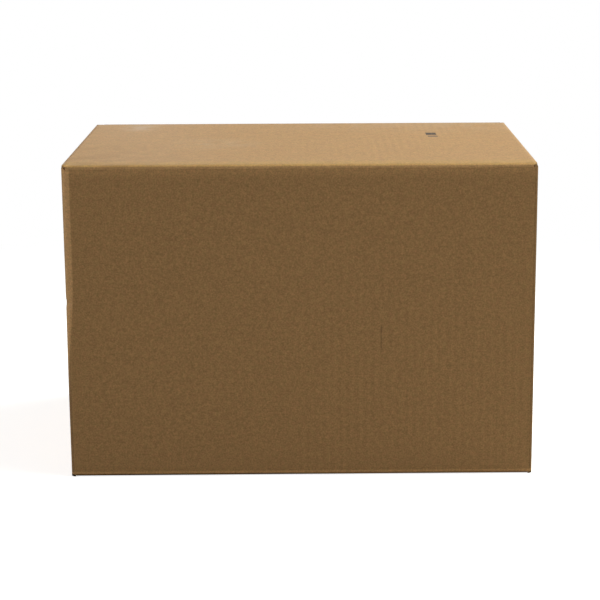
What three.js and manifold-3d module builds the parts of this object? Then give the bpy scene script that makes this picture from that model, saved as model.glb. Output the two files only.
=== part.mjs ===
// Cardboard box folded from one sheet of corrugated board, with a tuck-in lid hinged on the front top fold.
// Millimetres, +Z up. The origin is the middle of the underside and the front panel faces -Y.

import * as THREE from 'three';
import { mergeVertices } from 'three/addons/utils/BufferGeometryUtils.js';
import Module from 'manifold-3d';

const wasm = await Module();
wasm.setup();

// Outside of the closed box
const length = 458;
const depth = 306;
const height = 312;

// The board, its folds and its slots
const board = 4;
const foldInside = 0.5;
const clearance = 0.3;
const glueBite = 0.05;
const strapOverlap = 1;
const cornerSlotDepth = 0.5;

// The lid, which carries a tuck-in tongue along its rear edge
const lidInset = 1.2;
const tongueLength = 50;
const tongueEndGap = 9;
const tongueTaper = 12;
const tongueCorner = 18;
const tongueSpareLean = 2;

// Dust flaps, folded in from the end walls under the lid
const dustFlapLength = 130;
const dustFlapSideGap = 1.5;
const dustFlapTaper = 8;
const dustFlapCorner = 14;
const dustFlapTongueGap = 1;

// Bottom flaps: the end pair lies inside, the long pair meets at a seam under the middle
const bottomSeam = 2;
const innerFlapLength = 150;
const innerFlapSideGap = 1;

// Glued joint at the rear left edge, where the rear wall's tab runs behind the left end wall
const glueTabLength = 35;
const glueTabBevel = 12;
const glueTabEndGap = 8;
const rearWallDrop = 1;
const jointEdgeDrop = 1;

// Facets
const foldSegments = 8;
const cornerSegments = 5;

// Sizes that follow from the ones above
const halfLength = length / 2;
const halfDepth = depth / 2;
const foldOutside = foldInside + board;
const sideFoldStart = halfLength - foldOutside;
const depthFoldStart = halfDepth - foldOutside;
const topFoldStart = height - foldOutside;
const dustFlapTop = height - board - clearance;
const innerFlapBottom = board - glueBite;
const cornerTop = dustFlapTop - cornerSlotDepth;
const endFoldStart = dustFlapTop - foldOutside;
const lidRearFace = halfDepth - board - clearance;
const jointFoldStart = halfLength - board + glueBite - foldOutside;

const kraft = { color: 0xb39167, roughness: 0.9, metalness: 0 };
const alongX = new THREE.Vector3(1, 0, 0);
const alongY = new THREE.Vector3(0, 1, 0);
const alongZ = new THREE.Vector3(0, 0, 1);

// A strip of board seen edge on. It is laid from a point on its outside face by straight runs and by
// folds to the left, so its inside face is always on the left. Headings and folds are in degrees.
function foldedStrip(start, heading, steps) {
  const outsideFace = [];
  const insideFace = [];
  const point = new THREE.Vector2(...start);
  let angle = THREE.MathUtils.degToRad(heading);
  const leftOf = (distance) => new THREE.Vector2(-Math.sin(angle), Math.cos(angle))
    .multiplyScalar(distance)
    .add(point);
  const mark = () => {
    outsideFace.push(point.clone());
    insideFace.push(leftOf(board));
  };
  mark();
  for (const { run, fold } of steps) {
    if (run) {
      point.add(new THREE.Vector2(Math.cos(angle), Math.sin(angle)).multiplyScalar(run));
      mark();
      continue;
    }
    const centre = leftOf(foldOutside);
    const turn = THREE.MathUtils.degToRad(fold) / foldSegments;
    for (let i = 0; i < foldSegments; i++) {
      point.rotateAround(centre, turn);
      angle += turn;
      mark();
    }
  }
  return new THREE.Shape([...outsideFace, ...insideFace.reverse()]);
}

// A flat outline. Each point is [x, y] or, for a rounded corner, [x, y, radius].
function roundedOutline(points) {
  const outline = points.flatMap(([x, y, radius = 0], index) => {
    const corner = new THREE.Vector2(x, y);
    if (!radius) return [corner];
    const neighbours = [points.at(index - 1), points[(index + 1) % points.length]];
    const [before, after] = neighbours.map(([nextX, nextY]) => (
      new THREE.Vector2(nextX, nextY).sub(corner).setLength(radius).add(corner)
    ));
    return new THREE.QuadraticBezierCurve(before, corner, after).getPoints(cornerSegments);
  });
  return new THREE.Shape(outline);
}

// Turns a closed three.js geometry into a solid that can be joined and cut.
function solidOf(geometry) {
  geometry.deleteAttribute('normal');
  geometry.deleteAttribute('uv');
  const merged = mergeVertices(geometry);
  return new wasm.Manifold(new wasm.Mesh({
    numProp: 3,
    vertProperties: new Float32Array(merged.attributes.position.array),
    triVerts: new Uint32Array(merged.index.array),
  }));
}

// Extrudes a shape and lays it so that its own x and y axes run along the two given directions.
function extrudeAlong(shape, thickness, xAxis, yAxis, origin) {
  const geometry = new THREE.ExtrudeGeometry(shape, {
    depth: thickness,
    bevelEnabled: false,
    curveSegments: foldSegments,
  });
  const across = new THREE.Vector3().crossVectors(xAxis, yAxis);
  const placing = new THREE.Matrix4().makeBasis(xAxis, yAxis, across).setPosition(origin);
  return solidOf(geometry.applyMatrix4(placing));
}

// A shape drawn in Y and Z, run along X
function runAlongX(shape, fromX, toX) {
  return extrudeAlong(shape, toX - fromX, alongY, alongZ, new THREE.Vector3(fromX, 0, 0));
}

// A shape drawn in X and Z, run along Y
function runAlongY(shape, fromY, toY) {
  return extrudeAlong(shape, toY - fromY, alongX, alongZ, new THREE.Vector3(0, toY, 0));
}

// A shape drawn in X and Y, raised along Z
function raiseAlongZ(shape, fromZ, toZ) {
  return extrudeAlong(shape, toZ - fromZ, alongX, alongY, new THREE.Vector3(0, 0, fromZ));
}

function joinAll(solids) {
  return solids.reduce((whole, piece) => whole.add(piece));
}

function meshOf(name, solid) {
  const { vertProperties, triVerts } = solid.getMesh();
  const geometry = new THREE.BufferGeometry();
  geometry.setAttribute('position', new THREE.BufferAttribute(new Float32Array(vertProperties), 3));
  geometry.setIndex(new THREE.BufferAttribute(new Uint32Array(triVerts), 1));
  const mesh = new THREE.Mesh(geometry, new THREE.MeshStandardMaterial(kraft));
  mesh.name = name;
  return mesh;
}

// The thin gap where the lid turns. It splits the front top fold at 45 degrees.
function hingeGap() {
  const slab = new THREE.BoxGeometry(length, 4 * board, clearance);
  slab.rotateX(THREE.MathUtils.degToRad(-45));
  slab.translate(0, -depthFoldStart, topFoldStart);
  return solidOf(slab);
}

// The outside face in the middle of the front top fold, where the wall ends and the lid begins
const foldMiddle = [
  -depthFoldStart - foldOutside * Math.SQRT1_2,
  topFoldStart + foldOutside * Math.SQRT1_2,
];

// Front wall with its bottom flap, and the lower half of the fold that carries the lid
function frontPanel() {
  const section = foldedStrip(foldMiddle, 225, [
    { fold: 45 },
    { run: height - 2 * foldOutside },
    { fold: 90 },
    { run: depthFoldStart - bottomSeam / 2 },
  ]);
  return runAlongX(section, -sideFoldStart, sideFoldStart).subtract(hingeGap());
}

// Rear wall with its bottom flap. Its top edge is raw, and the tongue tucks in front of it.
function rearPanel() {
  const section = foldedStrip([bottomSeam / 2, 0], 0, [
    { run: depthFoldStart - bottomSeam / 2 },
    { fold: 90 },
    { run: height - rearWallDrop - foldOutside },
  ]);
  return runAlongX(section, -jointFoldStart, sideFoldStart);
}

// One end wall without its flaps. It stops at the folds, or at its own raw edge on the glued corner.
function endWall(side) {
  const faces = [halfLength, halfLength - board].map((x) => x * side).sort((a, b) => a - b);
  const wallBetween = (fromY, toY, fromZ, toZ) => runAlongY(
    roundedOutline([[faces[0], fromZ], [faces[1], fromZ], [faces[1], toZ], [faces[0], toZ]]),
    fromY,
    toY,
  );
  const foldToFold = wallBetween(
    -depthFoldStart,
    depthFoldStart,
    innerFlapBottom + foldOutside,
    endFoldStart,
  );
  if (side > 0) return foldToFold;
  const rawEdge = wallBetween(
    depthFoldStart - strapOverlap,
    halfDepth - jointEdgeDrop,
    foldOutside,
    cornerTop,
  );
  return foldToFold.add(rawEdge);
}

// The inner bottom flap of one end wall, glued down on the two long bottom flaps
function innerBottomFlap(side) {
  const halfWidth = halfDepth - board - innerFlapSideGap;
  const flatRun = innerFlapLength - foldOutside;
  const section = side > 0
    ? foldedStrip([sideFoldStart - flatRun, innerFlapBottom], 0, [
      { run: flatRun },
      { fold: 90 },
      { run: strapOverlap },
    ])
    : foldedStrip([-halfLength, innerFlapBottom + foldOutside + strapOverlap], 270, [
      { run: strapOverlap },
      { fold: 90 },
      { run: flatRun },
    ]);
  return runAlongY(section, -halfWidth, halfWidth);
}

// How far the tongue leans in, so that its tip swings clear of the rear wall's inside face
const tongueFoldStart = lidRearFace - foldOutside;
const lidSwing = halfDepth + lidRearFace;
const tongueLean = Math.asin((tongueLength + foldOutside) ** 2 / (2 * lidSwing * tongueLength))
  + THREE.MathUtils.degToRad(tongueSpareLean);
const tongueTop = new THREE.Vector2(
  tongueFoldStart + foldOutside * Math.cos(tongueLean),
  topFoldStart - foldOutside * Math.sin(tongueLean),
);
const tongueTip = new THREE.Vector2(
  tongueTop.x - tongueLength * Math.sin(tongueLean),
  tongueTop.y - tongueLength * Math.cos(tongueLean),
);

// The dust flap of one end wall. Its rear edge stays clear of the tongue.
function dustFlap(side) {
  const flatRun = dustFlapLength - foldOutside;
  const section = side > 0
    ? foldedStrip([halfLength, endFoldStart - strapOverlap], 90, [
      { run: strapOverlap },
      { fold: 90 },
      { run: flatRun },
    ])
    : foldedStrip([-sideFoldStart + flatRun, dustFlapTop], 180, [
      { run: flatRun },
      { fold: 90 },
      { run: strapOverlap },
    ]);
  const frontEdge = -halfDepth + board + dustFlapSideGap;
  const rearEdge = tongueTip.x - board - dustFlapTongueGap;
  const freeEdge = halfLength - dustFlapLength;
  const outline = roundedOutline([
    [side * (halfLength + board), frontEdge],
    [side * (halfLength + board), rearEdge],
    [side * freeEdge, rearEdge - dustFlapTaper, dustFlapCorner],
    [side * freeEdge, frontEdge + dustFlapTaper, dustFlapCorner],
  ]);
  return runAlongY(section, -halfDepth, halfDepth).intersect(raiseAlongZ(outline, 0, height));
}

// The upright fold between two walls, standing between the slots above and below it
function cornerFold(start, heading, top = cornerTop) {
  const section = foldedStrip(start, heading, [{ run: strapOverlap }, { fold: 90 }, { run: strapOverlap }]);
  return raiseAlongZ(section, foldOutside, top);
}

// The two front corners rise into small ears, mitred against the ends of the lid's fold.
function frontCornerFolds() {
  const profile = new THREE.Shape()
    .moveTo(-halfDepth, foldOutside)
    .lineTo(-halfDepth, topFoldStart)
    .absarc(-depthFoldStart, topFoldStart, foldOutside, Math.PI, Math.PI * 0.75, true)
    .lineTo(-depthFoldStart, topFoldStart)
    .lineTo(-depthFoldStart, endFoldStart)
    .lineTo(-depthFoldStart + strapOverlap, endFoldStart)
    .lineTo(-depthFoldStart + strapOverlap, foldOutside);
  const trim = runAlongX(profile, -halfLength, halfLength).subtract(hingeGap());
  return [
    cornerFold([sideFoldStart - strapOverlap, -halfDepth], 0, height),
    cornerFold([-halfLength, -depthFoldStart + strapOverlap], 270, height),
  ].map((corner) => corner.intersect(trim));
}

// The rear wall's own fold and glue tab, behind the left end wall's raw edge
function glueTab() {
  const section = foldedStrip([-jointFoldStart + strapOverlap, halfDepth], 180, [
    { run: strapOverlap },
    { fold: 90 },
    { run: glueTabLength },
  ]);
  const tabEnd = depthFoldStart - glueTabLength;
  const tabBottom = innerFlapBottom + board + glueTabEndGap;
  const tabTop = dustFlapTop - board - glueTabEndGap;
  const outline = roundedOutline([
    [halfDepth, foldOutside],
    [halfDepth, cornerTop],
    [depthFoldStart, cornerTop],
    [depthFoldStart, tabTop],
    [tabEnd, tabTop - glueTabBevel],
    [tabEnd, tabBottom + glueTabBevel],
    [depthFoldStart, tabBottom],
    [depthFoldStart, foldOutside],
  ]);
  return raiseAlongZ(section, 0, height).intersect(runAlongX(outline, -length, 0));
}

function carton() {
  return joinAll([
    frontPanel(),
    rearPanel(),
    ...frontCornerFolds(),
    cornerFold([halfLength, depthFoldStart - strapOverlap], 90),
    glueTab(),
    ...[-1, 1].flatMap((side) => [endWall(side), innerBottomFlap(side), dustFlap(side)]),
  ]);
}

// The lid with its tongue, from the tongue's tip over the rear fold to the middle of the front fold
function lidFlap() {
  const leanDegrees = THREE.MathUtils.radToDeg(tongueLean);
  const section = foldedStrip(tongueTip.toArray(), 90 - leanDegrees, [
    { run: tongueLength },
    { fold: 90 + leanDegrees },
    { run: tongueFoldStart + depthFoldStart },
    { fold: 45 },
  ]);
  const lidHalf = halfLength - lidInset;
  const tongueHalf = halfLength - board - tongueEndGap;
  const lidUnderside = height - board - clearance;
  const tipHalf = tongueHalf - tongueTaper;
  const outline = roundedOutline([
    [-lidHalf, height + board],
    [-lidHalf, lidUnderside],
    [-tongueHalf, lidUnderside],
    [-tipHalf, tongueTip.y - clearance, tongueCorner],
    [tipHalf, tongueTip.y - clearance, tongueCorner],
    [tongueHalf, lidUnderside],
    [lidHalf, lidUnderside],
    [lidHalf, height + board],
  ]);
  return runAlongX(section, -lidHalf, lidHalf)
    .intersect(runAlongY(outline, -depth, depth))
    .subtract(hingeGap());
}

const box = new THREE.Group();
box.add(meshOf('carton', carton()), meshOf('lid_flap', lidFlap()));

export default box;
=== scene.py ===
import math
import bmesh
import bpy
from mathutils import Matrix, Vector, noise


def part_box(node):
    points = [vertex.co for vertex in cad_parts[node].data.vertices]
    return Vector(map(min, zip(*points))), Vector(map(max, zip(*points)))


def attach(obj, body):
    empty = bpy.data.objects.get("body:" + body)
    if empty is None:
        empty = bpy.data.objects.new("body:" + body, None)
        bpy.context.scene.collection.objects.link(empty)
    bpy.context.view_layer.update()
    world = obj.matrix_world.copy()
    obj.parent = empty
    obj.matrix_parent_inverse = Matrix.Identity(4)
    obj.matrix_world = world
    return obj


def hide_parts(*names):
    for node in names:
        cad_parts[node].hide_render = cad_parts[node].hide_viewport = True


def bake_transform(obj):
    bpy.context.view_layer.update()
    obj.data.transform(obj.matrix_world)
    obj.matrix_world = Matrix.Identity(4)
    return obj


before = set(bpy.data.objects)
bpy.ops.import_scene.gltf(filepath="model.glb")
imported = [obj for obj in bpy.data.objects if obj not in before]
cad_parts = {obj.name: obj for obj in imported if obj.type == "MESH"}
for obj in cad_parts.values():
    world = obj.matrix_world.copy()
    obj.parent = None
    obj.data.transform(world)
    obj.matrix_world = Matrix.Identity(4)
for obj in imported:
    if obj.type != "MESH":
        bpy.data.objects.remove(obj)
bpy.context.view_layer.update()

print("frame loaded")

# The camera stands where the photograph's perspective puts it
cameraView = {
    "place": (0.0081, -1.8114, 0.5710),
    "yaw": 0.0123,
    "pitch": -0.2219,
    "roll": -0.0037,
    "lens": 105.12,
    "sensor": 36.0,
    "shift": (-0.05, -0.03),
}


def makeCamera(view):
    camera = bpy.data.objects.new("camera", bpy.data.cameras.new("camera"))
    bpy.context.scene.collection.objects.link(camera)
    camera.data.lens = view["lens"]
    camera.data.sensor_width = view["sensor"]
    camera.data.shift_x, camera.data.shift_y = view["shift"]
    turn = (
        Matrix.Rotation(-view["yaw"], 4, "Z")
        @ Matrix.Rotation(math.pi / 2 + view["pitch"], 4, "X")
        @ Matrix.Rotation(view["roll"], 4, "Z")
    )
    camera.matrix_world = Matrix.Translation(view["place"]) @ turn
    bpy.context.scene.camera = camera


makeCamera(cameraView)
print("camera set")


class Wire:
    # wraps one socket, so that maths on sockets reads as plain expressions
    def __init__(self, nodes, socket):
        self.nodes, self.socket = nodes, socket

    def __add__(self, other):
        return self.nodes.maths("ADD", self, other)

    def __radd__(self, other):
        return self.nodes.maths("ADD", other, self)

    def __sub__(self, other):
        return self.nodes.maths("SUBTRACT", self, other)

    def __rsub__(self, other):
        return self.nodes.maths("SUBTRACT", other, self)

    def __mul__(self, other):
        return self.nodes.maths("MULTIPLY", self, other)

    def __rmul__(self, other):
        return self.nodes.maths("MULTIPLY", other, self)

    def __truediv__(self, other):
        return self.nodes.maths("DIVIDE", self, other)


class Nodes:
    # builds the nodes of one tree, which is a material's, the world's or a modifier's
    def __init__(self, tree):
        self.tree = tree
        self.tree.nodes.clear()

    def node(self, kind, settings=None, inputs=None, output=0):
        # a list of wires goes into one socket that takes several links
        made = self.tree.nodes.new(kind)
        for key, value in (settings or {}).items():
            setattr(made, key, value)
        for key, value in (inputs or {}).items():
            for one in value if isinstance(value, list) else [value]:
                if isinstance(one, Wire):
                    self.tree.links.new(one.socket, made.inputs[key])
                else:
                    made.inputs[key].default_value = one
        return Wire(self, made.outputs[output]) if len(made.outputs) else made

    def maths(self, operation, first, second=0.0):
        return self.node("ShaderNodeMath", {"operation": operation}, {0: first, 1: second})

    def parts(self, vector):
        outputs = self.node("ShaderNodeSeparateXYZ", {}, {0: vector}).socket.node.outputs
        return [Wire(self, output) for output in outputs]

    def scaled(self, vector, factor):
        return self.node("ShaderNodeVectorMath", {"operation": "SCALE"}, {0: vector, "Scale": factor})

    def noise(self, place, scale, detail, roughness=0.5):
        return self.node("ShaderNodeTexNoise", {}, {
            "Vector": place, "Scale": scale, "Detail": detail, "Roughness": roughness,
        })

    def step(self, value, low, high):
        # 0 below low, 1 above high and smooth between; high below low turns it round
        flip = high < low
        settings = {"interpolation_type": "SMOOTHSTEP"}
        ends = {1: min(low, high), 2: max(low, high), 3: 1.0 if flip else 0.0, 4: 0.0 if flip else 1.0}
        return self.node("ShaderNodeMapRange", settings, {0: value, **ends})

    def between(self, value, low, high, soft):
        return self.step(value, low - soft, low) * self.step(value, high + soft, high)

    def mix(self, factor, first, second):
        return self.node(
            "ShaderNodeMix", {"data_type": "RGBA"}, {0: factor, 6: first, 7: second}, output=2
        )


def newMaterial(name):
    material = bpy.data.materials.new(name)
    material.use_nodes = True
    return material, Nodes(material.node_tree)


# The board and the blank, in metres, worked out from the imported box
boxLow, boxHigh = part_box("carton")
lidLow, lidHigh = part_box("lid_flap")

board = {
    "thickness": 0.004,
    "foldInside": 0.0005,
    "liner": 0.00045,       # each paper face, where a raw edge shows it
    "rawDepth": 0.0028,     # how far the core sits back at a raw edge
    "rawRoom": 1.8,         # at most this many times the way to the middle of the faces there
    "cornerPull": 0.5,      # keeps the core from being pulled too far at a sharp corner
    "layerGap": 0.0001,
    "flutePitch": 0.0081,
    "fluteSteps": 12.0,     # points along one wave
    "fluteHeight": 0.0028,
    "fluteInset": 0.0002,
    "fluteDepth": 0.0019,
    "fluteMargin": 0.003,   # how far the fluting stops short of a raw edge's ends
    "flutePaper": 0.00022,
}
lid = {
    "tongueLength": 0.050,
    "tongueHalf": 0.216,
    "tongueTaper": 0.012,
    "tongueCorner": 0.018,
}
dustFlap = {
    "length": 0.130,
    "sideGap": 0.0015,
    "tongueGap": 0.001,
    "taper": 0.008,
    "corner": 0.014,
    "sag": 1.0,             # degrees below level
}
bottom = {"seam": 0.002, "innerLength": 0.150, "innerSideGap": 0.001}
glueJoint = {"tabLength": 0.035, "bevel": 0.012, "endGap": 0.008, "edgeDrop": 0.001}
slots = {"depth": 0.0005, "lift": 0.0005, "clearance": 0.0003}

# How finely the sheets are divided
grid = {
    "step": 0.015,
    "foldRows": 8,
    "fine": 0.003,
    "nearCorner": (0.0008, 0.0016, 0.0024, 0.0032, 0.004, 0.0055, 0.008, 0.012),
    "nearFold": (0.002, 0.005, 0.009),
    "nearTongue": (0.004, 0.009),
    "nearNick": (0.001, 0.0025, 0.004, 0.006),
    "nearTab": 0.001,
    "closest": 0.0002,      # levels closer than this are one
    "roundTo": 1e5,         # points are one where they agree to this many steps in a metre
}
hair = 1e-6                 # distances up to this count as none

halfLength = (boxHigh.x - boxLow.x) / 2
halfDepth = (boxHigh.y - boxLow.y) / 2
height = lidHigh.z
lidHalf = lidHigh.x
lidRear = lidHigh.y
tongueTipLow = lidLow.z
thickness = board["thickness"]
foldOutside = board["foldInside"] + thickness
sideFoldStart = halfLength - foldOutside
depthFoldStart = halfDepth - foldOutside
topFoldStart = height - foldOutside
rearTop = boxHigh.z
dustTop = height - thickness - slots["clearance"]
innerBottom = thickness + board["layerGap"]
cornerTop = dustTop - slots["depth"]
endFoldLow = innerBottom + foldOutside
endFoldHigh = dustTop - foldOutside


def between(low, high, spacing):
    count = max(1, round((high - low) / spacing))
    return [low + (high - low) * i / count for i in range(count + 1)]


def levels(low, high, spacing, extra=()):
    # regular levels with the extra ones among them, none closer than a fraction of a millimetre
    wanted = sorted({*between(low, high, spacing), *(e for e in extra if low < e < high)})
    kept = [wanted[0]]
    for level in wanted[1:]:
        if level - kept[-1] > grid["closest"]:
            kept.append(level)
    return kept


def foldPath(start, heading, steps):
    # rows across the board, each with its point on the outside face, the way in, the way on
    # and the length so far
    point, angle, length, rows = Vector(start), math.radians(heading), 0.0, []

    def mark():
        onward = Vector((math.cos(angle), math.sin(angle)))
        rows.append((point.copy(), Vector((-onward.y, onward.x)), onward, length))

    mark()
    for kind, amount in steps:
        if kind == "run":
            begin, runStart = point.copy(), length
            onward = rows[-1][2]
            for distance in amount[1:]:
                point, length = begin + onward * distance, runStart + distance
                mark()
            continue
        turn = math.radians(amount) / grid["foldRows"]
        for _ in range(grid["foldRows"]):
            inward = Vector((-math.sin(angle), math.cos(angle)))
            centre = point + inward * foldOutside
            arm = point - centre
            c, s = math.cos(turn), math.sin(turn)
            point = centre + Vector((arm.x * c - arm.y * s, arm.x * s + arm.y * c))
            angle += turn
            length += foldOutside * turn
            mark()
    return rows


def smooth(value, low, high):
    t = min(1.0, max(0.0, (value - low) / (high - low)))
    return t * t * (3 - 2 * t)


# How the box has settled: a rolled front left edge, a dented spot, a wavy front fold and dished panels
wear = {
    "rollSlope": 0.50,
    "rollWidth": 0.0082,
    "rollLow": 0.08,
    "rollFull": 0.20,
    "rollBack": 0.020,
    "nickHeight": 0.1765,
    "nickDepth": 0.0024,
    "nickReach": 0.0027,
    "nickWidth": 0.0085,
    "wave": 0.0006,
    "waveReach": 0.012,
    "waveForward": 0.6,     # how far the fold also gives inwards, for each unit down
    "waveCount": 28,
    "waveSeed": 3.1,
    "waveEnds": (0.004, 0.02),
    "dish": 0.0009,
    "dishMargin": 0.05,
    "dishEven": 0.55,       # the share of the dish that is the same all over
    "dishCount": 5.3,
    "faceDepth": 0.0002,    # a point is on a face when it is no deeper than this
}


def settled(place):
    moved = place.copy()
    fromSide, fromFront, fromTop = halfLength - abs(place.x), place.y + halfDepth, height - place.z
    # the edge at the left of the front panel
    if place.x < 0 and place.z > foldOutside:
        fromLeft = place.x + halfLength
        width = wear["rollWidth"] * smooth(place.z, wear["rollLow"], wear["rollFull"])
        fade = 1 - smooth(fromFront, foldOutside, wear["rollBack"])
        fade *= 1 - smooth(place.z, topFoldStart, height)
        moved.y += wear["rollSlope"] * max(0.0, width - fromLeft) * fade
        nick = wear["nickDepth"] * math.exp(-((place.z - wear["nickHeight"]) / wear["nickReach"]) ** 2)
        nick *= 1 - smooth(max(fromLeft, fromFront), 0.0, wear["nickWidth"])
        moved += Vector((nick, nick, 0)) * math.sqrt(0.5)
    # the fold along the front of the lid
    nearFold = math.exp(-((fromTop ** 2 + fromFront ** 2) / wear["waveReach"] ** 2))
    wave = 0.5 + 0.5 * noise.noise(Vector((place.x * wear["waveCount"], wear["waveSeed"], 0)))
    ends = smooth(fromSide, *wear["waveEnds"])
    moved += Vector((0, wear["waveForward"], -1)) * wear["wave"] * wave * nearFold * ends
    # the panels
    fromRear = halfDepth - place.y
    margins = sorted((fromSide, min(fromFront, fromRear), min(fromTop, place.z)))
    if margins[0] < wear["faceDepth"]:
        inside = smooth(margins[1], 0.0, wear["dishMargin"])
        uneven = (1 - wear["dishEven"]) * noise.noise(place * wear["dishCount"])
        depth = wear["dish"] * (wear["dishEven"] + uneven) * inside
        if fromSide < wear["faceDepth"]:
            moved.x -= math.copysign(depth, place.x)
        elif fromFront < wear["faceDepth"]:
            moved.y += depth
        elif fromRear < wear["faceDepth"]:
            moved.y -= depth
        elif fromTop < wear["faceDepth"]:
            moved.z -= depth
    return moved


class Sheet:
    # the outside face of folded board, laid patch by patch, with points at one place shared
    def __init__(self):
        self.places, self.points, self.inward, self.found = [], [], [], {}
        self.faces, self.uvs = [], []

    def point(self, place, inward):
        key = tuple(round(c * grid["roundTo"]) for c in place)
        if key not in self.found:
            self.found[key] = len(self.points)
            self.places.append(place)
            self.points.append(settled(place))
            self.inward.append(inward.copy())
        return self.found[key]

    def patch(self, rows, columnsAt, lay):
        # columnsAt gives each row its places across the fold, with None where the sheet is cut away
        turned = lay is alongZ
        laid = []
        for number, row in enumerate(rows):
            point, inward, _, length = row
            line = []
            for across in columnsAt(number, row):
                if across is None:
                    line.append(None)
                    continue
                index = self.point(lay(point, across), lay(inward, 0.0))
                line.append((index, (length, across) if turned else (across, length)))
            laid.append(line)
        for line, following in zip(laid, laid[1:]):
            for a, b, c, d in zip(line, line[1:], following[1:], following):
                if None not in (a, b, c, d):
                    self.faces.append([a[0], b[0], c[0], d[0]])
                    self.uvs.append([a[1], b[1], c[1], d[1]])


def alongX(point, across):
    return Vector((across, point.x, point.y))


def alongZ(point, across):
    return Vector((point.x, point.y, across))


def rawRims(sheet):
    # the sides that belong to one face only
    sides = {}
    for number, face in enumerate(sheet.faces):
        for a, b in zip(face, face[1:] + face[:1]):
            if a != b:
                sides.setdefault(frozenset((a, b)), []).append((a, b, number))
    return [found[0] for found in sides.values() if len(found) == 1]


def rimPulls(sheet, rims):
    # from each point on a raw edge, the ways to the middle of the faces there
    pulls = {}
    for a, b, number in rims:
        face = sheet.faces[number]
        centre = sum((sheet.points[i] for i in face), Vector()) / len(face)
        along = (sheet.points[b] - sheet.points[a]).normalized()
        pull = centre - sheet.points[a]
        pull -= along * pull.dot(along)
        for index in (a, b):
            inward = sheet.inward[index]
            pulls.setdefault(index, []).append(pull - inward * pull.dot(inward))
    return pulls


def thicken(name, sheet, closedAt):
    # gives the sheet its thickness and, at each raw edge, two liners with the core set back between them
    rims = rawRims(sheet)
    vertices = [p.copy() for p in sheet.points]
    count = len(vertices)
    vertices += [p + n * thickness for p, n in zip(sheet.points, sheet.inward)]
    near, far = board["liner"], thickness - board["liner"]
    ladders = {}
    for index, found in rimPulls(sheet, rims).items():
        room = board["rawRoom"] * min(one.length for one in found)
        pull = sum((one.normalized() for one in found), Vector())
        pull /= max(board["cornerPull"], pull.length_squared / len(found))
        deep = 0.0 if closedAt(sheet.places[index]) else min(board["rawDepth"], room)
        start = len(vertices)
        base, inward = sheet.points[index], sheet.inward[index]
        vertices += [
            base + inward * near,
            base + inward * near + pull * deep,
            base + inward * far + pull * deep,
            base + inward * far,
        ]
        ladders[index] = [index, *range(start, len(vertices)), index + count]
    outside, inside, cut = range(3)
    faces, uvs, slotsOf = [], [], []
    for face, uv in zip(sheet.faces, sheet.uvs):
        faces.append(face[::-1])
        uvs.append(uv[::-1])
        slotsOf.append(outside)
        faces.append([i + count for i in face])
        uvs.append(uv)
        slotsOf.append(inside)
    for a, b, _ in rims:
        for rung in zip(ladders[a], ladders[b], ladders[b][1:], ladders[a][1:]):
            faces.append(rung)
            uvs.append([(0.0, 0.0)] * 4)
            slotsOf.append(cut)
    mesh = bpy.data.meshes.new(name)
    mesh.from_pydata(vertices, [], faces)
    layer = mesh.uv_layers.new(name="board")
    flat = [value for uv in uvs for pair in uv for value in pair]
    layer.data.foreach_set("uv", flat)
    mesh.polygons.foreach_set("material_index", slotsOf)
    mesh.polygons.foreach_set("use_smooth", [slot != cut for slot in slotsOf])
    mended = bmesh.new()
    mended.from_mesh(mesh)
    bmesh.ops.remove_doubles(mended, verts=mended.verts, dist=hair)
    bmesh.ops.recalc_face_normals(mended, faces=mended.faces)
    print(name, len(mended.faces), "faces, open edges:", sum(not e.is_manifold for e in mended.edges))
    mended.to_mesh(mesh)
    mended.free()
    mesh.update()
    piece = bpy.data.objects.new(name, mesh)
    bpy.context.scene.collection.objects.link(piece)
    return piece


# The carton is one folded sheet, laid patch by patch
nickLevels = [wear["nickHeight"] + s * n for s in (-1, 1) for n in grid["nearNick"]]
wallLevels = levels(
    foldOutside, topFoldStart, grid["step"], (endFoldLow, endFoldHigh, cornerTop, *nickLevels)
)
footLevels = [slots["lift"], (slots["lift"] + foldOutside) / 2]
cornerLevels = [*footLevels, *(z for z in wallLevels if z < cornerTop + hair)]
endLevels = [z for z in wallLevels if endFoldLow - hair <= z <= endFoldHigh + hair]
jointFoldStart = halfLength - thickness - board["layerGap"] - foldOutside
tongueFoldStart = lidRear - foldOutside

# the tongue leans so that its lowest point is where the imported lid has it
tongueDrop = topFoldStart - tongueTipLow
tongueLean = math.atan2(foldOutside, lid["tongueLength"])
tongueLean += math.acos(tongueDrop / math.hypot(lid["tongueLength"], foldOutside))
tongueTop = Vector((
    tongueFoldStart + foldOutside * math.cos(tongueLean),
    topFoldStart - foldOutside * math.sin(tongueLean),
))
tongueTip = tongueTop - Vector((math.sin(tongueLean), math.cos(tongueLean))) * lid["tongueLength"]
dustFront = -halfDepth + thickness + dustFlap["sideGap"]
dustRear = tongueTip.x - thickness - dustFlap["tongueGap"]
rawEdges = {"carton": [], "lid": []}


def tipped(low, high, length, end, taper, corner):
    # how far in the two sides of a flap have come at a length along it, with the free corners rounded
    share = length / end
    inset = taper * share
    left = end - length
    if left < corner:
        inset += corner - math.sqrt(max(0.0, corner ** 2 - (corner - left) ** 2))
    return low + inset, high - inset


def spread(places, low, high, newLow, newHigh):
    # places between low and high move to the same shares of the new stretch; the others are cut away
    return [
        newLow + (newHigh - newLow) * (p - low) / (high - low) if low - hair <= p <= high + hair else None
        for p in places
    ]


def rememberEdge(body, row, lay, low, high, onward=1.0):
    # a raw edge across the flutes, for the fluting that shows there
    point, inward, heading, _ = row
    middle = point + inward * (thickness / 2) - heading * (onward * board["fluteInset"])
    rawEdges[body].append({
        "ends": (lay(middle, low), lay(middle, high)),
        "into": lay(heading * -onward, 0.0),
        "across": lay(inward, 0.0),
    })


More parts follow.
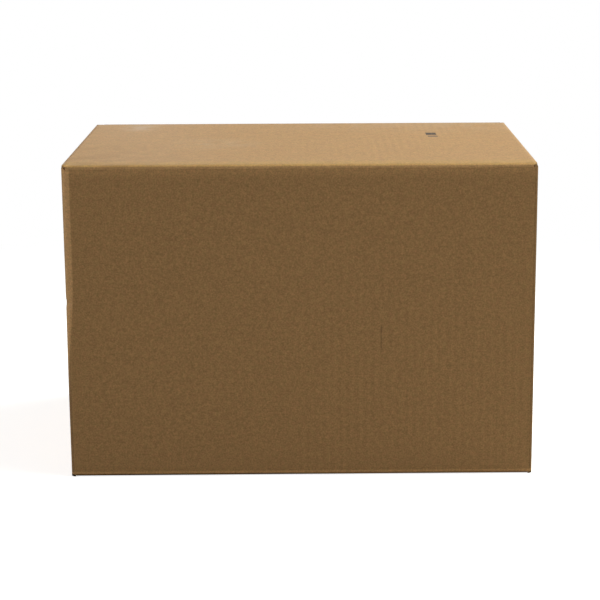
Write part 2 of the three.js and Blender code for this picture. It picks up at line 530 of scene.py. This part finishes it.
def lidPlaces():
    # the front panel and the lid share their columns
    tongue = [s * (lid["tongueHalf"] - n) for s in (-1, 1) for n in (0.0, *grid["nearTongue"])]
    corners = [s * (sideFoldStart - n) for s in (-1, 1) for n in (0.0, *grid["nearCorner"])]
    return levels(-lidHalf, lidHalf, grid["step"], [*tongue, *corners])


def frontPatch(sheet):
    places = [p for p in lidPlaces() if abs(p) < sideFoldStart + hair]
    rows = foldPath((-halfDepth, topFoldStart), 270, [
        ("run", [topFoldStart - z for z in reversed(wallLevels)]),
        ("fold", 90),
        ("run", between(0, depthFoldStart - bottom["seam"] / 2, grid["step"])),
    ])
    sheet.patch(rows, lambda number, row: places, alongX)
    fluteHalf = sideFoldStart - board["fluteMargin"]
    rememberEdge("carton", rows[-1], alongX, -fluteHalf, fluteHalf)


def rearPatch(sheet):
    byCorner = [sideFoldStart - n for n in grid["nearCorner"]]
    places = levels(-jointFoldStart, sideFoldStart, grid["step"], byCorner)
    rows = foldPath((bottom["seam"] / 2, 0), 0, [
        ("run", between(0, depthFoldStart - bottom["seam"] / 2, grid["step"])),
        ("fold", 90),
        ("run", [z - foldOutside for z in [*wallLevels, rearTop]]),
    ])
    sheet.patch(rows, lambda number, row: places, alongX)
    fluteLow, fluteHigh = board["fluteMargin"] - jointFoldStart, sideFoldStart - board["fluteMargin"]
    rememberEdge("carton", rows[0], alongX, fluteLow, fluteHigh, -1.0)
    rememberEdge("carton", rows[-1], alongX, fluteLow, fluteHigh)


def endPatch(sheet, side):
    def lay(point, across):
        return Vector((side * point.x, across, point.y))

    innerHalf = halfDepth - thickness - bottom["innerSideGap"]
    byCorner = [s * (depthFoldStart - n) for s in (-1, 1) for n in grid["nearCorner"]]
    extra = [dustFront, dustRear, -innerHalf, innerHalf, *byCorner]
    places = levels(-depthFoldStart, depthFoldStart, grid["step"], extra)
    flatRun = bottom["innerLength"] - foldOutside
    dustRun = dustFlap["length"] - foldOutside
    tipFrom = dustRun - dustFlap["corner"]
    dustLevels = between(0, tipFrom, grid["step"]) + between(tipFrom, dustRun, grid["fine"])[1:]
    rows = foldPath((halfLength - bottom["innerLength"], innerBottom), 0, [
        ("run", between(0, flatRun, grid["step"])),
        ("fold", 90),
        ("run", [z - endLevels[0] for z in endLevels]),
        ("fold", 90 + dustFlap["sag"]),
        ("run", dustLevels),
    ])
    wallFirst = len(between(0, flatRun, grid["step"])) - 1 + grid["foldRows"]
    wallLast = wallFirst + len(endLevels) - 1
    dustFirst = wallLast + grid["foldRows"]

    def columns(number, row):
        if number < wallFirst:
            return spread(places, -innerHalf, innerHalf, -innerHalf, innerHalf)
        if number <= wallLast:
            return places
        length = max(0.0, row[3] - rows[dustFirst][3])
        low, high = tipped(dustFront, dustRear, length, dustRun, dustFlap["taper"], dustFlap["corner"])
        return spread(places, dustFront, dustRear, low, high)

    sheet.patch(rows, columns, lay)
    if side < 0:
        # the strip that covers the glue tab, as tall as the corners
        rise = [z - cornerLevels[0] for z in cornerLevels]
        upright = foldPath((halfLength, cornerLevels[0]), 90, [("run", rise)])
        strip = [depthFoldStart, halfDepth - glueJoint["edgeDrop"]]
        sheet.patch(upright, lambda number, row: strip, lay)
    reach = dustFlap["taper"] + dustFlap["corner"]
    rememberEdge("carton", rows[-1], lay, dustFront + reach, dustRear - reach)
    fluteHalf = innerHalf - board["fluteMargin"]
    rememberEdge("carton", rows[0], lay, -fluteHalf, fluteHalf, -1.0)


def earLevels(number, row):
    # a front corner rises to the lid's fold, clear of its mitre except where it joins the front panel
    fromCentre = -depthFoldStart - row[0].y
    top = topFoldStart + min(fromCentre, math.sqrt(max(0.0, foldOutside ** 2 - fromCentre ** 2)))
    if fromCentre < foldOutside - 10 * hair:
        top -= slots["clearance"]
    stretch = (top - endFoldHigh) / (topFoldStart - endFoldHigh)
    ear = [z if z < endFoldHigh + hair else endFoldHigh + (z - endFoldHigh) * stretch for z in wallLevels]
    return [*footLevels, *ear]


def cornerPatches(sheet):
    starts = (
        ((sideFoldStart, -halfDepth), 0, earLevels),
        ((halfLength, depthFoldStart), 90, lambda number, row: cornerLevels),
        ((-halfLength, -depthFoldStart), 270, earLevels),
    )
    for start, heading, levelsAt in starts:
        sheet.patch(foldPath(start, heading, [("fold", 90)]), levelsAt, alongZ)


def gluePatch(sheet):
    byEnds = (grid["nearTab"], glueJoint["tabLength"] - grid["nearTab"])
    run = levels(0, glueJoint["tabLength"], grid["step"], byEnds)
    rows = foldPath((-jointFoldStart, halfDepth), 180, [("fold", 90), ("run", run)])
    low, high = cornerLevels[0], cornerLevels[-1]
    tabLow = innerBottom + thickness + glueJoint["endGap"]
    tabHigh = dustTop - thickness - glueJoint["endGap"]

    def columns(number, row):
        length = row[3] - rows[grid["foldRows"]][3]
        if length < grid["nearTab"] / 2:
            return cornerLevels
        bevel = glueJoint["bevel"] * length / glueJoint["tabLength"]
        return spread(cornerLevels, low, high, tabLow + bevel, tabHigh - bevel)

    sheet.patch(rows, columns, alongZ)


def makeCarton():
    sheet = Sheet()
    frontPatch(sheet)
    rearPatch(sheet)
    cornerPatches(sheet)
    gluePatch(sheet)
    for side in (-1, 1):
        endPatch(sheet, side)
    # no core shows where the lid's fold begins
    return thicken("carton_board", sheet, lambda p: p.z > topFoldStart - 10 * hair and p.y < -depthFoldStart)


# The lid with its tongue, and the strip of board round the lid's fold
def makeLid():
    corner, taper, tongueHalf = lid["tongueCorner"], lid["tongueTaper"], lid["tongueHalf"]
    tongueLevels = between(0, corner, grid["fine"])
    tongueLevels += between(corner, lid["tongueLength"], grid["step"])[1:]
    leanDegrees = math.degrees(tongueLean)
    panelRun = tongueFoldStart + depthFoldStart
    rows = foldPath(tongueTip, 90 - leanDegrees, [
        ("run", tongueLevels),
        ("fold", 90 + leanDegrees),
        ("run", levels(0, panelRun, grid["step"], [panelRun - n for n in grid["nearFold"]])),
    ])
    panelFirst = len(tongueLevels) - 1 + grid["foldRows"]
    places = lidPlaces()

    def columns(number, row):
        if number >= panelFirst:
            return places
        length = max(0.0, lid["tongueLength"] - row[3])
        low, high = tipped(-tongueHalf, tongueHalf, length, lid["tongueLength"], taper, corner)
        return spread(places, -tongueHalf, tongueHalf, low, high)

    sheet = Sheet()
    sheet.patch(rows, columns, alongX)
    reach = tongueHalf - taper - corner
    rememberEdge("lid", rows[0], alongX, -reach, reach, -1.0)
    return thicken("lid_board", sheet, lambda p: p.y < -depthFoldStart + grid["closest"])


def makeLidFold():
    # the ends reach as far as the lid down to the mitre, and from there as far as the front panel
    rows = foldPath((-depthFoldStart, height), 180, [("fold", 90)])
    places = lidPlaces()
    panel = [p if abs(p) < sideFoldStart + hair else None for p in places]
    mitre = grid["foldRows"] // 2
    sheet = Sheet()
    sheet.patch(rows, lambda number, row: places if number <= mitre else panel, alongX)
    return thicken("lid_fold", sheet, lambda p: True)


carton, lidBoard, lidFold = makeCarton(), makeLid(), makeLidFold()
print("board folded")


# The fluted paper that shows between the liners at raw edges
def fluteTree():
    group = bpy.data.node_groups.new("flutedEdge", "GeometryNodeTree")
    face = group.interface
    face.new_socket("Geometry", in_out="INPUT", socket_type="NodeSocketGeometry")
    sizes = {
        "Pitch": board["flutePitch"],
        "Wave height": board["fluteHeight"],
        "Depth": board["fluteDepth"],
        "Paper": board["flutePaper"],
    }
    for name, value in sizes.items():
        face.new_socket(name, in_out="INPUT", socket_type="NodeSocketFloat").default_value = value
    face.new_socket("Material", in_out="INPUT", socket_type="NodeSocketMaterial")
    face.new_socket("Geometry", in_out="OUTPUT", socket_type="NodeSocketGeometry")

    nodes = Nodes(group)
    node = nodes.node
    outputs = node("NodeGroupInput").socket.node.outputs
    given = {output.name: Wire(nodes, output) for output in outputs}
    across, into = (
        node("GeometryNodeInputNamedAttribute", {"data_type": "FLOAT_VECTOR"}, {"Name": name})
        for name in ("across", "into")
    )
    # each line becomes a wave of fine points across the board
    line = node("GeometryNodeMeshToCurve", {}, {0: given["Geometry"]})
    spacing = given["Pitch"] / board["fluteSteps"]
    fine = node("GeometryNodeResampleCurve", {"mode": "LENGTH"}, {"Curve": line, "Length": spacing})
    along = node("GeometryNodeSplineParameter", output="Length")
    turn = along * (2 * math.pi) / given["Pitch"]
    rise = nodes.maths("SINE", turn) * (given["Wave height"] * 0.5)
    wave = node("GeometryNodeSetPosition", {}, {"Geometry": fine, "Offset": nodes.scaled(across, rise)})
    # the wave is drawn into the board as a ribbon and gets the paper's thickness
    edge = node("GeometryNodeCurveToMesh", {}, {"Curve": wave})
    ribbon = node("GeometryNodeExtrudeMesh", {"mode": "EDGES"}, {
        "Mesh": edge, "Offset": into, "Offset Scale": given["Depth"],
    })
    thick = node("GeometryNodeExtrudeMesh", {"mode": "FACES"}, {
        "Mesh": ribbon, "Offset Scale": given["Paper"], "Individual": False,
    })
    back = node("GeometryNodeFlipFaces", {}, {0: ribbon})
    whole = node("GeometryNodeJoinGeometry", {}, {0: [thick, back]})
    closed = node("GeometryNodeMergeByDistance", {}, {"Geometry": whole, "Distance": hair})
    real = node("GeometryNodeRealizeInstances", {}, {0: closed})
    painted = node("GeometryNodeSetMaterial", {}, {"Geometry": real, "Material": given["Material"]})
    node("NodeGroupOutput", {}, {0: painted})
    return group


def makeFluting(name, edges, tree, material):
    mesh = bpy.data.meshes.new(name + "_lines")
    points = [point for edge in edges for point in edge["ends"]]
    mesh.from_pydata(points, [(2 * i, 2 * i + 1) for i in range(len(edges))], [])
    for key in ("into", "across"):
        values = [c for edge in edges for _ in edge["ends"] for c in edge[key]]
        mesh.attributes.new(key, "FLOAT_VECTOR", "POINT").data.foreach_set("vector", values)
    lines = bpy.data.objects.new(name + "_lines", mesh)
    bpy.context.scene.collection.objects.link(lines)
    modifier = lines.modifiers.new("fluting", "NODES")
    modifier.node_group = tree
    sockets = {item.name: item.identifier for item in tree.interface.items_tree if item.in_out == "INPUT"}
    modifier[sockets["Material"]] = material
    evaluated = lines.evaluated_get(bpy.context.evaluated_depsgraph_get())
    made = bpy.data.meshes.new_from_object(evaluated)
    bpy.data.objects.remove(lines)
    piece = bpy.data.objects.new(name, made)
    bpy.context.scene.collection.objects.link(piece)
    return piece


# Paper finishes, as linear colours
paper = {
    "outer": (0.52, 0.303, 0.130),
    "inner": (0.51, 0.315, 0.148),
    "raw": (0.56, 0.37, 0.19),
    "medium": (0.33, 0.20, 0.095),
    "outerWashboard": 0.026,
    "innerWashboard": 0.02,
    "roughness": 0.56,
    "specular": 0.12,
    "bump": 0.25,
    "bumpHeight": 0.0004,
}
# what varies over the paper, how finely, and what it does to the tone, the relief and the roughness
texture = {
    "grain": {"scale": 640.0, "detail": 1.5, "roughness": 0.6, "tone": 0.85, "relief": 0.5},
    "cloud": {"scale": 210.0, "detail": 3.0, "roughness": 0.6, "tone": 0.38, "roughen": 0.12},
    "blotch": {"scale": 9.0, "detail": 2.0, "roughness": 0.5, "tone": 0.045},
    "fibre": {"scale": 1.0, "detail": 2.0, "roughness": 0.6, "tone": 0.12, "relief": 0.3},
    "fibreStretch": (60.0, 60.0, 700.0),
    "tint": {"scale": 210.0, "detail": 1.0, "roughness": 0.5},
    "tintShift": (3.1, 1.7, 5.3),
    "tintShares": (0.10, -0.06, 0.04),
    "waveRelief": 0.6,
    "waveFrom": -0.12,
    "waveFull": 0.05,
    "wavePatches": {"scale": 6.0, "detail": 1.0, "low": 0.38, "high": 0.6},
}
marks = {
    "skinFrom": 0.004,      # a mark on a face starts to fade in this deep
    "skinFull": 0.002,
    # painted highlights and shade on the front fold, the lid's band by it, the upright corners and the rolled
    # left edge
    "folds": {
        "frontBand": 0.0150,
        "frontFull": 0.0050,
        "frontLift": 0.15,
        "frontSoft": 0.0006,
        "arcLow": 0.0026,
        "arcHigh": 0.0034,
        "arcLift": 0.15,
        "arcShade": 0.24,
        "cornerShade": 0.38,
        "cornerSoft": 0.0012,
        "cornerFrom": 0.0005,
        "cornerFull": 0.0020,
        "cornerLow": (0.08, 0.15),
        "topBand": 0.026,
        "topFull": 0.012,
        "topLift": 0.04,
        "topSoft": 0.0005,
        "topTint": (1.0, 1.02, 0.87, 1.0),
        "rollLift": 0.25,
        "rollSoft": 0.0005,
        "rollFrom": 0.006,
        "rollFull": 0.004,
    },
    # painted shadow at the front's foot and a painted highlight just above it
    "foot": {
        "high": 0.0058,
        "full": 0.0042,
        "low": 0.0030,
        "none": 0.0018,
        "lift": 0.42,
        "shade": 0.72,
        "fadeFrom": -0.12,
        "fadeTo": 0.10,
        "fadeShare": 0.7,
    },
    # painted shade along a short upright crease
    "crease": {
        "x": 0.0785,
        "low": 0.130,
        "high": 0.152,
        "half": 0.0005,
        "soft": 0.0004,
        "ends": 0.004,
        "strength": 0.42,
        "creaseBreakShare": 0.6,
        "creaseBreaks": {"scale": 260.0, "detail": 1.0, "low": 0.35, "high": 0.55},
        "shade": (0.16, 0.10, 0.055, 1.0),
    },
    "dot": {"x": 0.0792, "z": 0.1705, "radius": 0.0011, "core": 0.4, "strength": 0.5},
    # soft patches on the lid: paler ones of painted sheen, and a darker one of painted shade by the front
    # left corner
    "patches": (
        {"place": (-0.176, 0.116), "reach": (0.030, 0.040), "strength": 0.42, "shade": (0.70, 0.56, 0.42)},
        {"place": (-0.085, -0.010), "reach": (0.070, 0.060), "strength": 0.14, "shade": (0.70, 0.56, 0.42)},
        {"place": (0.150, 0.150), "reach": (0.260, 0.110), "strength": 0.16, "shade": (0.70, 0.56, 0.42)},
        {"place": (-0.225, -0.130), "reach": (0.200, 0.200), "strength": 0.50, "shade": (0.38, 0.215, 0.085)},
    ),
    "patchUneven": {"scale": 60.0, "detail": 2.0, "low": 0.3, "high": 0.6},
    "bars": (
        {"x": (0.1349, 0.1405), "y": (0.053, 0.069), "shade": (0.035, 0.025, 0.020), "strength": 0.95},
        {"x": (0.1411, 0.1453), "y": (0.053, 0.069), "shade": (0.035, 0.025, 0.020), "strength": 0.92},
        {"x": (0.1360, 0.1459), "y": (0.038, 0.046), "shade": (0.12, 0.09, 0.065), "strength": 0.75},
    ),
    "barSoft": {"x": 0.0006, "y": 0.0012},
    "barBroken": {"scale": 900.0, "detail": 1.0, "low": 0.1, "high": 0.35},
}


def speckle(shader, place, kind):
    # noise that goes both ways from zero
    return shader.noise(place, kind["scale"], kind["detail"], kind["roughness"]) - 0.5


def islands(shader, place, kind):
    # noise cut to soft islands, from 0 to 1
    return shader.step(shader.noise(place, kind["scale"], kind["detail"]), kind["low"], kind["high"])


# painted light and shade along the folds, the upright front corners, the foot and the rolled left edge
def paintedFoldLight(shader, colour, place):
    fold, foot = marks["folds"], marks["foot"]
    x, y, z = shader.parts(place)
    # the front fold: painted highlight on its upper turn and on a band of the panel below it, and painted
    # shade on the lower turn
    foldLine = -depthFoldStart
    arcLow, arcHigh = topFoldStart + fold["arcLow"], topFoldStart + fold["arcHigh"]
    byFront = shader.step(y, foldLine, foldLine - fold["frontSoft"])
    onArc = shader.step(z, arcLow, arcHigh) * byFront
    belowTop = shader.step(z, height - fold["frontBand"], height - fold["frontFull"]) * byFront
    underArc = shader.step(z, topFoldStart, arcLow) * (1.0 - onArc) * byFront
    # painted highlight on a band of the lid behind the front fold
    onLid = shader.step(y, foldLine + fold["topBand"], foldLine + fold["topFull"])
    onLid = onLid * (1.0 - byFront) * shader.step(z, arcHigh, height - fold["topSoft"])
    # painted shade on the upright front corners, the left one only low down
    atCorner = shader.step(y, foldLine, foldLine - fold["cornerSoft"])
    lowDown = shader.step(z, fold["cornerLow"][1], fold["cornerLow"][0])
    first, last = sideFoldStart + fold["cornerFrom"], sideFoldStart + fold["cornerFull"]
    corners = shader.step(x, first, last) + shader.step(x, -first, -last) * lowDown
    # the foot: a painted highlight just above the ground, and on the front a painted shadow at the ground
    # that fades towards the right
    footHigh = shader.step(z, foot["high"], foot["full"]) * shader.step(z, foot["none"], foot["low"])
    fade = shader.step(x, foot["fadeTo"], foot["fadeFrom"]) * foot["fadeShare"] + (1 - foot["fadeShare"])
    footLow = shader.step(z, foot["low"], foot["none"]) * byFront * fade
    # painted highlight on the rolled left edge
    width = shader.step(z, wear["rollLow"], wear["rollFull"]) * wear["rollWidth"]
    rolled = shader.step(x + halfLength - width, fold["rollSoft"], -fold["rollSoft"])
    rolled = rolled * shader.step(y, fold["rollFrom"] - halfDepth, fold["rollFull"] - halfDepth)
    lift = belowTop * (1.0 - onArc) * fold["frontLift"] + onArc * fold["arcLift"] + onLid * fold["topLift"]
    lift = lift + footHigh * foot["lift"] - footLow * foot["shade"] + rolled * fold["rollLift"]
    lift = lift - underArc * fold["arcShade"] - corners * atCorner * fold["cornerShade"]
    # the painted highlights on the lid's band and on the fold's upper turn are also made yellower
    yellower = shader.mix(onLid + onArc, (1.0, 1.0, 1.0, 1.0), fold["topTint"])
    lifted = shader.scaled(colour, 1.0 + lift)
    return shader.node("ShaderNodeVectorMath", {"operation": "MULTIPLY"}, {0: lifted, 1: yellower})


def frontMarks(shader, colour, place):
    # painted shade along a short upright crease, uneven along its length, with a dark dot above it
    crease, dot = marks["crease"], marks["dot"]
    x, y, z = shader.parts(place)
    onFront = shader.step(y, -halfDepth + marks["skinFrom"], -halfDepth + marks["skinFull"])
    line = shader.between(x, crease["x"] - crease["half"], crease["x"] + crease["half"], crease["soft"])
    line = line * shader.between(z, crease["low"], crease["high"], crease["ends"])
    away = shader.node("ShaderNodeVectorMath", {"operation": "DISTANCE"}, {
        0: place, 1: (dot["x"], -halfDepth, dot["z"]),
    }, output=1)
    spot = shader.step(away, dot["radius"], dot["radius"] * dot["core"])
    creaseBreaks = islands(shader, place, crease["creaseBreaks"]) * crease["creaseBreakShare"] + (1 - crease["creaseBreakShare"])
    strength = line * creaseBreaks * crease["strength"] + spot * dot["strength"]
    return shader.mix(strength * onFront, colour, crease["shade"])


def lidMarks(shader, colour, place):
    x, y, z = shader.parts(place)
    onTop = shader.step(z, height - marks["skinFrom"], height - marks["skinFull"])
    uneven = islands(shader, place, marks["patchUneven"])
    # painted sheen in the paler patches and painted shade in the darker one; the bars after them are print
    for area in marks["patches"]:
        across = (x - area["place"][0]) / area["reach"][0]
        along = (y - area["place"][1]) / area["reach"][1]
        away = shader.maths("POWER", across * across + along * along, 0.5)
        where = shader.step(away, 1.0, 0.0) * uneven * onTop
        colour = shader.mix(where * area["strength"], colour, (*area["shade"], 1.0))
    soft = marks["barSoft"]
    broken = islands(shader, place, marks["barBroken"])
    for bar in marks["bars"]:
        where = shader.between(x, *bar["x"], soft["x"]) * shader.between(y, *bar["y"], soft["y"]) * onTop
        colour = shader.mix(where * broken * bar["strength"], colour, (*bar["shade"], 1.0))
    return colour


def paperMaterial(name, shade, washboard=0.0, marked=False):
    material, shader = newMaterial(name)
    place = shader.node("ShaderNodeTexCoord", output=3)
    grain, cloud, blotch = (speckle(shader, place, texture[kind]) for kind in ("grain", "cloud", "blotch"))
    shifted = shader.node("ShaderNodeVectorMath", {}, {0: place, 1: texture["tintShift"]})
    tint = speckle(shader, shifted, texture["tint"])
    stretched = shader.node("ShaderNodeMapping", {}, {0: place, 3: texture["fibreStretch"]})
    fibre = speckle(shader, stretched, texture["fibre"])
    tone = 1.0
    for kind, varied in (("grain", grain), ("cloud", cloud), ("blotch", blotch), ("fibre", fibre)):
        tone = tone + varied * texture[kind]["tone"]
    relief = grain * texture["grain"]["relief"] + fibre * texture["fibre"]["relief"]
    if washboard:
        # the flutes press through, in patches and towards the right
        sheetX = shader.parts(shader.node("ShaderNodeUVMap", {"uv_map": "board"}))[0]
        wave = shader.maths("SINE", sheetX * (2 * math.pi / board["flutePitch"]))
        patches = islands(shader, place, texture["wavePatches"])
        onRight = shader.step(shader.parts(place)[0], texture["waveFrom"], texture["waveFull"])
        wave = wave * (patches * onRight)
        tone = tone + wave * washboard
        relief = relief + wave * texture["waveRelief"]
    shades = {i: shade[i] * (1.0 + tint * share) for i, share in enumerate(texture["tintShares"])}
    colour = shader.scaled(shader.node("ShaderNodeCombineXYZ", {}, shades), tone)
    if marked:
        for marking in (paintedFoldLight, frontMarks, lidMarks):
            colour = marking(shader, colour, place)
    bump = shader.node("ShaderNodeBump", {}, {
        "Strength": paper["bump"], "Distance": paper["bumpHeight"], "Height": relief,
    })
    surface = shader.node("ShaderNodeBsdfPrincipled", {}, {
        "Base Color": colour,
        "Roughness": paper["roughness"] + cloud * texture["cloud"]["roughen"],
        "Normal": bump,
        "Specular IOR Level": paper["specular"],
    })
    shader.node("ShaderNodeOutputMaterial", {}, {"Surface": surface})
    return material


outer = paperMaterial("outer_liner", paper["outer"], paper["outerWashboard"], marked=True)
inner = paperMaterial("inner_liner", paper["inner"], paper["innerWashboard"])
raw = paperMaterial("raw_edge", paper["raw"])
medium = paperMaterial("fluted_medium", paper["medium"])
print("paper made")

for piece in (carton, lidBoard, lidFold):
    for material in (outer, inner, raw):
        piece.data.materials.append(material)

tree = fluteTree()
cartonFluting = makeFluting("carton_fluting", rawEdges["carton"], tree, medium)
lidFluting = makeFluting("lid_fluting", rawEdges["lid"], tree, medium)
print("fluting", len(cartonFluting.data.polygons), len(lidFluting.data.polygons))

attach(carton, "carton")
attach(cartonFluting, "carton")
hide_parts("carton")
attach(lidBoard, "lid")
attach(lidFluting, "lid")
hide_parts("lid_flap")
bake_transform(lidFold)
print("pieces ride on their bodies")


# The studio: a pale floor, a white backdrop, a wide soft light above at the right,
# a faint one far behind, a low one at the left and a weak warm strip at the foot of the front
studio = {
    "floorHalf": 6.0,
    "floorBounce": (0.38, 0.355, 0.33),
    "floorGlow": 0.76,
    "floorWhiteFrom": 0.45,
    "floorWhiteFull": 1.1,
    "ambient": 0.2,
    "white": (1.0, 1.0, 1.0),
    "lamps": (
        {
            "name": "overhead",
            "place": (1.5, 0.15, 2.15),
            "aim": (0, 0, 0.2),
            "size": (2.0, 2.0),
            "power": 56.0,
            "colour": (0.98, 1.0, 0.91),
        },
        {
            "name": "rear_left",
            "place": (-0.42, 2.6, 0.54),
            "aim": (-0.17, 0.1, 0.31),
            "size": (0.25, 0.2),
            "power": 0.9,
        },
        {
            "name": "left",
            "place": (-3.0, -0.6, 0.16),
            "aim": (0, -0.2, 0.16),
            "size": (0.8, 0.28),
            "power": 20.0,
        },
        {
            "name": "front",
            "place": (0.6, -1.3, 0.03),
            "aim": (0.1, -0.15, 0.0),
            "size": (0.8, 0.04),
            "power": 0.55,
            "colour": (1.0, 0.90, 0.76),
        },
    ),
}


def makeFloor():
    # to the camera it is white with the object's shadow, and far out plain white; to the light it is duller
    half = studio["floorHalf"]
    corners = [(-half, -half, 0), (half, -half, 0), (half, half, 0), (-half, half, 0)]
    mesh = bpy.data.meshes.new("floor")
    mesh.from_pydata(corners, [], [(0, 1, 2, 3)])
    floor = bpy.data.objects.new("floor", mesh)
    bpy.context.scene.collection.objects.link(floor)
    material, shader = newMaterial("floor")
    bounce = shader.node("ShaderNodeBsdfDiffuse", {}, {"Color": (*studio["floorBounce"], 1.0)})
    seen = shader.node("ShaderNodeBsdfDiffuse", {}, {"Color": (*studio["white"], 1.0)})
    glow = shader.node("ShaderNodeEmission", {}, {"Strength": studio["floorGlow"]})
    bright = shader.node("ShaderNodeAddShader", {}, {0: seen, 1: glow})
    white = shader.node("ShaderNodeEmission", {}, {"Strength": 1.0})
    place = shader.node("ShaderNodeTexCoord", output=3)
    away = shader.node("ShaderNodeVectorMath", {"operation": "LENGTH"}, {0: place}, output=1)
    far = shader.step(away, studio["floorWhiteFrom"], studio["floorWhiteFull"])
    shown = shader.node("ShaderNodeMixShader", {}, {0: far, 1: bright, 2: white})
    cameraRay = shader.node("ShaderNodeLightPath")
    both = shader.node("ShaderNodeMixShader", {}, {0: cameraRay, 1: bounce, 2: shown})
    shader.node("ShaderNodeOutputMaterial", {}, {"Surface": both})
    mesh.materials.append(material)


def makeWorld():
    # white where it is seen, also in a reflection, and dim as a light
    world = bpy.data.worlds.new("studio")
    world.use_nodes = True
    shader = Nodes(world.node_tree)
    rays = shader.node("ShaderNodeLightPath").socket.node.outputs
    seen = Wire(shader, rays["Is Camera Ray"])
    for ray in ("Is Glossy Ray", "Is Transmission Ray"):
        seen = shader.maths("MAXIMUM", seen, Wire(shader, rays[ray]))
    ambient, white = (
        shader.node("ShaderNodeBackground", {}, {"Color": (*studio["white"], 1.0), "Strength": strength})
        for strength in (studio["ambient"], 1.0)
    )
    shown = shader.node("ShaderNodeMixShader", {}, {0: seen, 1: ambient, 2: white})
    shader.node("ShaderNodeOutputWorld", {}, {"Surface": shown})
    bpy.context.scene.world = world


def makeLamp(lamp):
    light = bpy.data.lights.new(lamp["name"], "AREA")
    light.shape = "RECTANGLE"
    light.size, light.size_y = lamp["size"]
    light.energy = lamp["power"]
    light.color = lamp.get("colour", studio["white"])
    holder = bpy.data.objects.new(lamp["name"], light)
    bpy.context.scene.collection.objects.link(holder)
    holder.location = lamp["place"]
    aim = Vector(lamp["aim"]) - Vector(lamp["place"])
    holder.rotation_euler = aim.to_track_quat("-Z", "Y").to_euler()


makeFloor()
makeWorld()
for lamp in studio["lamps"]:
    makeLamp(lamp)
bpy.context.scene.view_settings.view_transform = "Standard"
print("studio lit")
